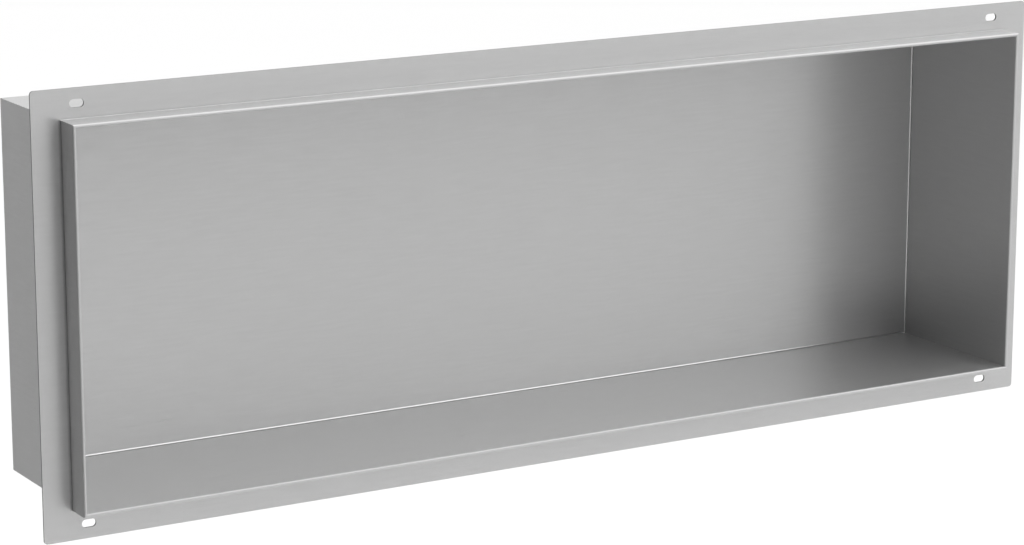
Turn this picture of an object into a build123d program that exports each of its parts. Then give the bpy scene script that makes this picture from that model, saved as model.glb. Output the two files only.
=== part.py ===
from build123d import *
import os

# A shower niche insert: an open-fronted tray folded from one steel sheet.
# X runs along the niche, Y goes into the wall and Z is up.
# The origin is the centre of the niche, in the plane where the flange seats on the wall.

# Driving dimensions, in millimetres
inside_width = 595.0
inside_height = 200.0
outside_depth = 100.0
sheet = 1.0
bend_radius = 1.0
crease_radius = 0.3
collar_projection = 15.5
flange_border = 16.0
flange_corner_radius = 2.0
slot_length = 8.0
slot_width = 4.3
slot_side_inset = 25.0
slot_edge_inset = 8.0

# Depths along Y
flange_seat = 0.0
flange_face = flange_seat - sheet
rim_front = flange_face - collar_projection
back_rear = rim_front + outside_depth
back_face = back_rear - sheet

# The collar is the wall and the skin that is folded back flat on it from the rim
collar_thickness = 2 * sheet
nose_radius = collar_thickness / 2

# Sizes across the flange
flange_reach = collar_thickness + flange_border
flange_width = inside_width + 2 * flange_reach
flange_height = inside_height + 2 * flange_reach
slot_spacing_x = flange_width - 2 * slot_side_inset
slot_spacing_z = flange_height - 2 * slot_edge_inset


def folded_section():
    """Section of one side of the sheet: across it outwards from the niche, and along its depth.

    The outline follows the face seen from the room, from the back panel to the flange's edge,
    and comes back along the rear of the flange and the outside of the wall.
    """
    back_bend = JernArc((-bend_radius, back_face), (1, 0), bend_radius, -90)
    wall = Line(back_bend @ 1, (0, rim_front + nose_radius))
    nose = JernArc(wall @ 1, wall % 1, nose_radius, 180)
    skin = Line(nose @ 1, (collar_thickness, flange_face - crease_radius))
    crease = JernArc(skin @ 1, skin % 1, crease_radius, -90)
    flange = Line(crease @ 1, (flange_reach, flange_face))
    flange_edge = Line(flange @ 1, (flange_reach, flange_seat))
    flange_rear = Line(flange_edge @ 1, (sheet, flange_seat))
    outside = Line(flange_rear @ 1, (sheet, back_face - bend_radius))
    outer_bend = JernArc(outside @ 1, outside % 1, bend_radius + sheet, 90)
    panel_joint = Line(outer_bend @ 1, back_bend @ 0)
    seen = [back_bend, wall, nose, skin, crease, flange]
    unseen = [flange_edge, flange_rear, outside, outer_bend, panel_joint]
    return make_face(Wire(seen + unseen))


def mitred_side(length):
    """One side of the niche, lying along X under its inside face, with both ends cut at 45 degrees."""
    section_plane = Plane(origin=(0, 0, 0), x_dir=(0, 0, -1), z_dir=(1, 0, 0))
    side = extrude(section_plane * folded_section(), amount=length / 2 + flange_reach, both=True)
    for end in (-1, 1):
        mitre = Plane(origin=(end * length / 2, 0, 0), z_dir=(end, 0, 1))
        side = split(side, bisect_by=mitre, keep=Keep.BOTTOM)
    return side


def folded_walls():
    """The four sides, turned round the opening and welded along their mitres."""
    floor = Pos(0, 0, -inside_height / 2) * mitred_side(inside_width)
    end_wall = Pos(0, 0, -inside_width / 2) * mitred_side(inside_height)
    ceiling = Rot(0, 180, 0) * floor
    right_wall = Rot(0, -90, 0) * end_wall
    left_wall = Rot(0, 90, 0) * end_wall
    return floor + ceiling + right_wall + left_wall


def back_panel():
    """The flat of the back, between its four bends."""
    panel_plane = Plane(origin=(0, back_face, 0), x_dir=(1, 0, 0), z_dir=(0, 1, 0))
    flat = Rectangle(inside_width - 2 * bend_radius, inside_height - 2 * bend_radius)
    return extrude(panel_plane * flat, amount=sheet)


def flange_slots():
    """The four slots that take the fixing screws, along the top and bottom borders."""
    slot_plane = Plane(origin=(0, flange_face, 0), x_dir=(1, 0, 0), z_dir=(0, 1, 0))
    places = GridLocations(slot_spacing_x, slot_spacing_z, 2, 2)
    outlines = Sketch() + places * SlotOverall(slot_length, slot_width)
    return extrude(slot_plane * outlines, amount=sheet)


def niche_body():
    """The whole folded sheet, with the flange's outer corners rounded and its slots cut."""
    body = folded_walls() + back_panel()
    depth_edges = body.edges().filter_by(Axis.Y)
    flange_corners = depth_edges.sort_by(lambda edge: abs(edge.center().X) + abs(edge.center().Z))[-4:]
    body = fillet(flange_corners, flange_corner_radius)
    return body - flange_slots()


os.makedirs("parts", exist_ok=True)
export_step(niche_body(), "parts/niche_body.step")
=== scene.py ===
import math

import bpy
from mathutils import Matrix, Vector

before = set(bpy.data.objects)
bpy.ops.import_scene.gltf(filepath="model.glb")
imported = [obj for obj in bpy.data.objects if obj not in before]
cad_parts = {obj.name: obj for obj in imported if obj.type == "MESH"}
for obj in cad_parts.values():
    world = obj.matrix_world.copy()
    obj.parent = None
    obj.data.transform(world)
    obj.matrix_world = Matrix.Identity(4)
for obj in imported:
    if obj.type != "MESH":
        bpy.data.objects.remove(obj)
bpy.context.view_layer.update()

# Lengths are in metres, angles in degrees and lamp powers in watts

# Camera, at the photograph's viewing angle
CAMERA_AZIMUTH = -30.450
CAMERA_ELEVATION = 12.834
CAMERA_PLACE = (-0.92471, -1.51111, 0.39260)
CAMERA_LENS_MM = 115.253
CAMERA_SENSOR_MM = 36.0

# White room, with matt pieces
WORLD_TONE = 1.0
MATT_ROUGHNESS = 0.9

# Floor, and a mat on it that starts in front of the object
FLOOR_TONE = 0.99
FLOOR_HEIGHT = -1.2
FLOOR_REACH = 20.0
MAT_TONE = 0.81
MAT_REACH = 12.0
MAT_EDGE_Y = -0.6
MAT_LIFT = 0.01

# Screens round the left of the object, each from where the last one ends
SCREEN_DISTANCE = 2.6
SCREEN_STEPS = 16
FRONT_TONE = 0.02
FRONT_FROM = -12.5
FRONT_TO = -58.0
FRONT_FOOT = -0.23
FRONT_TOP = 4.1
SIDE_TONE = 0.02
SIDE_TO = -122.0
SIDE_TOP = 3.0
REAR_TONE = 0.57
REAR_TO = -172.0
REAR_TOP = 0.8

# Lamps
LAMP_DISTANCE = 3.0
KEY_AZIMUTH = 46.0
KEY_ELEVATION = 45.5
KEY_SIZE = 3.8
KEY_POWER = 49.5
TOP_AZIMUTH = 20.0
TOP_ELEVATION = 86.0
TOP_SIZE = 3.0
TOP_POWER = 25.0

# Brushed steel, with the grain along the sheet's length
STEEL_TONE = 0.585
TONE_SPREAD = 0.004
CLOUD_TONE = 0.005
LAND_SHARE = 0.55
STREAK_SHARE = 0.13
LAND_ROUGHNESS = 0.28
GROOVE_ROUGHNESS = 0.73
ROUGHNESS_SPREAD = 0.004
GROOVES_PER_METRE = 40000.0
GROOVE_WANDER = 2.0
GRAIN_DEPTH = 0.000005

# Noises of the grain, per metre along it and across it, and between upright and level faces
FINE_SCALE = (45.0, 3600.0, 40.0)
FINE_DETAIL = 2.0
STREAK_SCALE = (45.0, 620.0, 40.0)
STREAK_DETAIL = 3.0
CLOUD_SCALE = (4.0, 26.0, 40.0)
CLOUD_DETAIL = 2.0
LEVEL_FACE_SHIFT = 0.3
NOISE_LOW = 0.25
NOISE_MIDDLE = 0.5
NOISE_HIGH = 0.75

# Limits of a normal's parts, for a level face, a bent one and a cut edge
LEVEL_NORMAL = 0.707
BENT_NORMAL = 0.985
EDGE_NORMAL = 0.5

# The press left the bends at the back smoother than the sheet, and the fold left the rim's nose duller
BEND_ROUGHNESS = 0.26
BENDS_FROM_Y = 0.08
NOSE_ROUGHNESS = 0.65
NOSE_TO_Y = -0.0145

# Painted shade: the crease where the collar stands on the flange is painted darker, most of all at the two
# ends of the niche
END_CREASE_SHADE_SHARE = 0.5
LEVEL_CREASE_SHADE_SHARE = 0.85
CREASE_REACH = 0.0015
CREASE_MARGIN = 0.0005
COLLAR_HALF_X = 0.2995
COLLAR_HALF_Z = 0.102
FLANGE_FACE_Y = -0.001

# The sheet's cut edges are those of the flange, outside the foot of the collar, and of its slots; the cut
# edges are dull, and the slots' walls also carry painted shade, far darker
EDGE_SHARE = 0.35
SLOT_SHADE_SHARE = 0.05
FLANGE_FROM_X = 0.3005
FLANGE_FROM_Z = 0.103
SLOTS_TO_Z = 0.1155


class Nodes:
    """A short way to add and link the nodes of one tree."""

    def __init__(self, tree):
        self.tree = tree
        self.tree.nodes.clear()

    def add(self, kind, **settings):
        node = self.tree.nodes.new(kind)
        for name, value in settings.items():
            setattr(node, name, value)
        return node

    def put(self, value, socket):
        """Links an output to the socket, or sets the socket to a plain value."""
        if isinstance(value, bpy.types.NodeSocket):
            self.tree.links.new(value, socket)
        else:
            socket.default_value = value

    def fill(self, node, values):
        """Puts values in a node's inputs in their order, and gives its first output."""
        for value, socket in zip(values, node.inputs):
            self.put(value, socket)
        return node.outputs[0]

    def math(self, operation, *values):
        return self.fill(self.add("ShaderNodeMath", operation=operation), values)

    def absolute(self, value):
        return self.math("ABSOLUTE", value)

    def scaled(self, vector, scale):
        return self.fill(self.add("ShaderNodeVectorMath", operation="MULTIPLY"), (vector, scale))

    def combine(self, x, y, z):
        return self.fill(self.add("ShaderNodeCombineXYZ"), (x, y, z))

    def separate(self, vector):
        """The outputs X, Y and Z of a vector."""
        node = self.add("ShaderNodeSeparateXYZ")
        self.put(vector, node.inputs[0])
        return node.outputs

    def mix_vector(self, share, first, second):
        node = self.add("ShaderNodeMix", data_type="VECTOR")
        inputs = {socket.identifier: socket for socket in node.inputs}
        outputs = {socket.identifier: socket for socket in node.outputs}
        self.put(share, inputs["Factor_Float"])
        self.put(first, inputs["A_Vector"])
        self.put(second, inputs["B_Vector"])
        return outputs["Result_Vector"]

    def noise(self, vector, scale, detail):
        """A noise between 0 and 1, with its own scale along each part of the vector."""
        node = self.add("ShaderNodeTexNoise")
        self.put(self.scaled(vector, scale), node.inputs["Vector"])
        node.inputs["Scale"].default_value = 1.0
        node.inputs["Detail"].default_value = detail
        return node.outputs["Fac"]

    def step(self, share, first, second):
        """First where the share is 0, and second where it is 1."""
        return self.math("ADD", first, self.math("MULTIPLY", share, second - first))

    def spread(self, value, low, high):
        """Maps the middle of a noise's range on low to high."""
        node = self.add("ShaderNodeMapRange")
        self.put(value, node.inputs["Value"])
        node.inputs["From Min"].default_value = NOISE_LOW
        node.inputs["From Max"].default_value = NOISE_HIGH
        node.inputs["To Min"].default_value = low
        node.inputs["To Max"].default_value = high
        return node.outputs["Result"]


def cut_edge_and_slot_shade_tone(nodes, place, normal):
    """How bright the sheet is at a place, as a share: its cut edges are dull, and in the slots they also
    carry painted shade.
    """
    from_middle_x = nodes.absolute(place["X"])
    from_middle_z = nodes.absolute(place["Z"])
    outside_x = nodes.math("GREATER_THAN", from_middle_x, FLANGE_FROM_X)
    outside_z = nodes.math("GREATER_THAN", from_middle_z, FLANGE_FROM_Z)
    on_flange = nodes.math("MAXIMUM", outside_x, outside_z)
    inside_x = nodes.math("LESS_THAN", from_middle_x, FLANGE_FROM_X)
    inside_z = nodes.math("LESS_THAN", from_middle_z, SLOTS_TO_Z)
    by_slot = nodes.math("MULTIPLY", inside_x, inside_z)
    is_edge = nodes.math("LESS_THAN", nodes.absolute(normal["Y"]), EDGE_NORMAL)
    is_cut = nodes.math("MULTIPLY", on_flange, is_edge)
    # The slots' walls are painted nearly black: a dull cut edge with painted shade inside the slot
    darker = nodes.math("MULTIPLY", is_cut, nodes.step(by_slot, 1.0 - EDGE_SHARE, 1.0 - SLOT_SHADE_SHARE))
    return nodes.math("SUBTRACT", 1.0, darker)


def crease_nearness(nodes, depth, across, along, foot, end):
    """How near a place is to the collar's foot on two sides: one in the crease, and zero past its reach."""
    outwards = nodes.math("SUBTRACT", nodes.absolute(across), foot)
    forwards = nodes.math("SUBTRACT", FLANGE_FACE_Y, depth)
    distance = nodes.math("MAXIMUM", outwards, forwards)
    nearness = nodes.math("SUBTRACT", 1.0, nodes.math("DIVIDE", distance, CREASE_REACH))
    nearness = nodes.math("MINIMUM", nodes.math("MAXIMUM", nearness, 0.0), 1.0)
    is_outside = nodes.math("GREATER_THAN", outwards, -CREASE_MARGIN)
    is_beside = nodes.math("LESS_THAN", nodes.absolute(along), end)
    return nodes.math("MULTIPLY", nearness, nodes.math("MULTIPLY", is_outside, is_beside))


def painted_crease_shade(nodes, place):
    """How bright the sheet is near the foot of the collar, as a share: painted shade darkens the crease
    there.
    """
    at_ends = crease_nearness(nodes, place["Y"], place["X"], place["Z"], COLLAR_HALF_X, COLLAR_HALF_Z)
    level = crease_nearness(nodes, place["Y"], place["Z"], place["X"], COLLAR_HALF_Z, COLLAR_HALF_X)
    darker_ends = nodes.math("MULTIPLY", at_ends, 1.0 - END_CREASE_SHADE_SHARE)
    darker_level = nodes.math("MULTIPLY", level, 1.0 - LEVEL_CREASE_SHADE_SHARE)
    return nodes.math("SUBTRACT", 1.0, nodes.math("ADD", darker_ends, darker_level))


def folded_roughness(nodes, place, normal, brushed):
    """The brushed roughness, with the bends at the back smoother and the rim's nose duller."""
    larger = nodes.math("MAXIMUM", nodes.absolute(normal["X"]), nodes.absolute(normal["Y"]))
    largest = nodes.math("MAXIMUM", larger, nodes.absolute(normal["Z"]))
    is_bent = nodes.math("LESS_THAN", largest, BENT_NORMAL)
    is_bend = nodes.math("MULTIPLY", is_bent, nodes.math("GREATER_THAN", place["Y"], BENDS_FROM_Y))
    is_nose = nodes.math("MULTIPLY", is_bent, nodes.math("LESS_THAN", place["Y"], NOSE_TO_Y))
    at_bend = nodes.math("MULTIPLY", is_bend, nodes.math("SUBTRACT", BEND_ROUGHNESS, brushed))
    at_nose = nodes.math("MULTIPLY", is_nose, nodes.math("SUBTRACT", NOSE_ROUGHNESS, brushed))
    return nodes.math("ADD", brushed, nodes.math("ADD", at_bend, at_nose))


def brushed_steel():
    """Bright steel with a fine straight grain that runs on round the bends."""
    material = bpy.data.materials.new("brushed_steel")
    material.use_nodes = True
    nodes = Nodes(material.node_tree)
    place = nodes.separate(nodes.add("ShaderNodeTexCoord").outputs["Object"])
    normal = nodes.separate(nodes.add("ShaderNodeNewGeometry").outputs["Normal"])
    is_level = nodes.math("GREATER_THAN", nodes.absolute(normal["Z"]), LEVEL_NORMAL)

    # Along the grain, across it, and a step that tells the level faces from the upright ones
    upright = nodes.combine(nodes.math("ADD", place["X"], place["Y"]), place["Z"], 0.0)
    level = nodes.combine(place["X"], place["Y"], LEVEL_FACE_SHIFT)
    sheet = nodes.mix_vector(is_level, upright, level)

    fine = nodes.noise(sheet, FINE_SCALE, FINE_DETAIL)
    streak = nodes.noise(sheet, STREAK_SCALE, STREAK_DETAIL)
    cloud = nodes.noise(sheet, CLOUD_SCALE, CLOUD_DETAIL)
    grain = nodes.math("DIVIDE", nodes.math("ADD", fine, streak), 2.0)

    tone = nodes.spread(grain, STEEL_TONE * (1.0 - TONE_SPREAD), STEEL_TONE * (1.0 + TONE_SPREAD))
    cloud_tone = nodes.math("MULTIPLY", nodes.math("SUBTRACT", cloud, NOISE_MIDDLE), CLOUD_TONE)
    tone = nodes.math("ADD", tone, cloud_tone)
    # Dull cut edges, with painted shade on the slots' walls
    tone = nodes.math("MULTIPLY", tone, cut_edge_and_slot_shade_tone(nodes, place, normal))
    # Painted shade in the crease at the collar's foot
    tone = nodes.math("MULTIPLY", tone, painted_crease_shade(nodes, place))
    colour = nodes.fill(nodes.add("ShaderNodeCombineColor"), (tone, tone, tone))

    # The brush leaves fine rough grooves with smoother lands between them, more of them in some streaks
    line = nodes.math("MULTIPLY", nodes.separate(sheet)["Y"], GROOVES_PER_METRE)
    line = nodes.math("ADD", line, nodes.math("MULTIPLY", fine, GROOVE_WANDER))
    land_share = nodes.spread(streak, LAND_SHARE - STREAK_SHARE, LAND_SHARE + STREAK_SHARE)
    in_groove = nodes.math("GREATER_THAN", nodes.math("FRACT", line), land_share)
    brushed = nodes.step(in_groove, LAND_ROUGHNESS, GROOVE_ROUGHNESS)
    folded = folded_roughness(nodes, place, normal, brushed)
    uneven_streaks = nodes.spread(streak, -ROUGHNESS_SPREAD, ROUGHNESS_SPREAD)
    uneven_clouds = nodes.spread(cloud, -ROUGHNESS_SPREAD, ROUGHNESS_SPREAD)
    roughness = nodes.math("ADD", folded, nodes.math("ADD", uneven_streaks, uneven_clouds))

    bump = nodes.add("ShaderNodeBump")
    bump.inputs["Strength"].default_value = 1.0
    bump.inputs["Distance"].default_value = GRAIN_DEPTH
    nodes.put(grain, bump.inputs["Height"])

    shader = nodes.add("ShaderNodeBsdfPrincipled")
    shader.inputs["Metallic"].default_value = 1.0
    nodes.put(colour, shader.inputs["Base Color"])
    nodes.put(roughness, shader.inputs["Roughness"])
    nodes.put(bump.outputs["Normal"], shader.inputs["Normal"])
    output = nodes.add("ShaderNodeOutputMaterial")
    nodes.put(shader.outputs["BSDF"], output.inputs["Surface"])
    return material


def grey(tone):
    return (tone, tone, tone, 1.0)


def plain_material(name, tone):
    """A matt grey material."""
    material = bpy.data.materials.new(name)
    material.use_nodes = True
    shader = material.node_tree.nodes["Principled BSDF"]
    shader.inputs["Base Color"].default_value = grey(tone)
    shader.inputs["Roughness"].default_value = MATT_ROUGHNESS
    shader.inputs["Specular IOR Level"].default_value = 0.0
    return material


def direction(azimuth, elevation):
    """Unit vector from the object towards an azimuth and elevation; azimuth 0 is the front."""
    turn = math.radians(azimuth)
    rise = math.radians(elevation)
    level = math.cos(rise)
    return Vector((math.sin(turn) * level, -math.cos(turn) * level, math.sin(rise)))


def add_object(name, data):
    """A new object in the scene, from its mesh, lamp or lens."""
    added = bpy.data.objects.new(name, data)
    bpy.context.scene.collection.objects.link(added)
    return added


def look_back(watcher, towards):
    """Turns a lamp or the camera to look back along a direction from the object."""
    watcher.rotation_euler = (-towards).to_track_quat("-Z", "Y").to_euler()


def stage_mesh(name, points, faces, material):
    """A piece of the studio, which isn't part of the object."""
    mesh = bpy.data.meshes.new(name)
    mesh.from_pydata(points, [], faces)
    mesh.materials.append(material)
    piece = add_object(name, mesh)
    return piece


def make_ground(name, reach, rear_y, height, material):
    """A level piece that reaches equally far to the front and to both sides."""
    front = [(-reach, -reach, height), (reach, -reach, height)]
    rear = [(reach, rear_y, height), (-reach, rear_y, height)]
    stage_mesh(name, front + rear, [(0, 1, 2, 3)], material)


def make_floor():
    """A wide pale floor, well below the part, which hangs at the height it has in a wall."""
    white = plain_material("floor_white", FLOOR_TONE)
    make_ground("floor", FLOOR_REACH, FLOOR_REACH, FLOOR_HEIGHT, white)


def make_mat():
    """A pale grey mat on the floor in front of the object, which the camera looks over."""
    pale_grey = plain_material("mat_grey", MAT_TONE)
    make_ground("mat", MAT_REACH, MAT_EDGE_Y, FLOOR_HEIGHT + MAT_LIFT, pale_grey)


def make_screen(name, tone, first_azimuth, last_azimuth, low, top):
    """A screen that curves round the object, for the darker reflections of the faces that look that way."""
    points = []
    faces = []
    for step in range(SCREEN_STEPS + 1):
        azimuth = first_azimuth + step / SCREEN_STEPS * (last_azimuth - first_azimuth)
        foot = direction(azimuth, 0.0) * SCREEN_DISTANCE
        points.append((foot.x, foot.y, low))
        points.append((foot.x, foot.y, top))
        if step:
            last = 2 * step
            faces.append((last - 2, last, last + 1, last - 1))
    screen = stage_mesh(name, points, faces, plain_material(name, tone))
    screen.visible_camera = False


def make_lamp(name, azimuth, elevation, size, power):
    """A large soft lamp that looks at the object."""
    light = bpy.data.lights.new(name, "AREA")
    light.shape = "SQUARE"
    light.size = size
    light.energy = power
    lamp = add_object(name, light)
    towards = direction(azimuth, elevation)
    lamp.location = towards * LAMP_DISTANCE
    look_back(lamp, towards)


def make_world():
    """Even white light from all round, which is also the background."""
    world = bpy.data.worlds.new("studio")
    world.use_nodes = True
    background = world.node_tree.nodes["Background"]
    background.inputs["Color"].default_value = grey(WORLD_TONE)
    background.inputs["Strength"].default_value = 1.0
    bpy.context.scene.world = world


def make_camera():
    """The photograph's camera, as it was fitted to the object's edges."""
    lens = bpy.data.cameras.new("camera")
    lens.lens = CAMERA_LENS_MM
    lens.sensor_width = CAMERA_SENSOR_MM
    camera = add_object("camera", lens)
    camera.location = CAMERA_PLACE
    look_back(camera, direction(CAMERA_AZIMUTH, CAMERA_ELEVATION))
    bpy.context.scene.camera = camera


steel = brushed_steel()
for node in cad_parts.values():
    for slot in node.material_slots:
        slot.material = steel

make_floor()
make_mat()
make_screen("front_screen", FRONT_TONE, FRONT_FROM, FRONT_TO, FRONT_FOOT, FRONT_TOP)
make_screen("side_screen", SIDE_TONE, FRONT_TO, SIDE_TO, FLOOR_HEIGHT, SIDE_TOP)
make_screen("rear_screen", REAR_TONE, SIDE_TO, REAR_TO, FLOOR_HEIGHT, REAR_TOP)
make_lamp("key_lamp", KEY_AZIMUTH, KEY_ELEVATION, KEY_SIZE, KEY_POWER)
make_lamp("top_lamp", TOP_AZIMUTH, TOP_ELEVATION, TOP_SIZE, TOP_POWER)
make_world()
make_camera()
bpy.context.scene.view_settings.view_transform = "Standard"
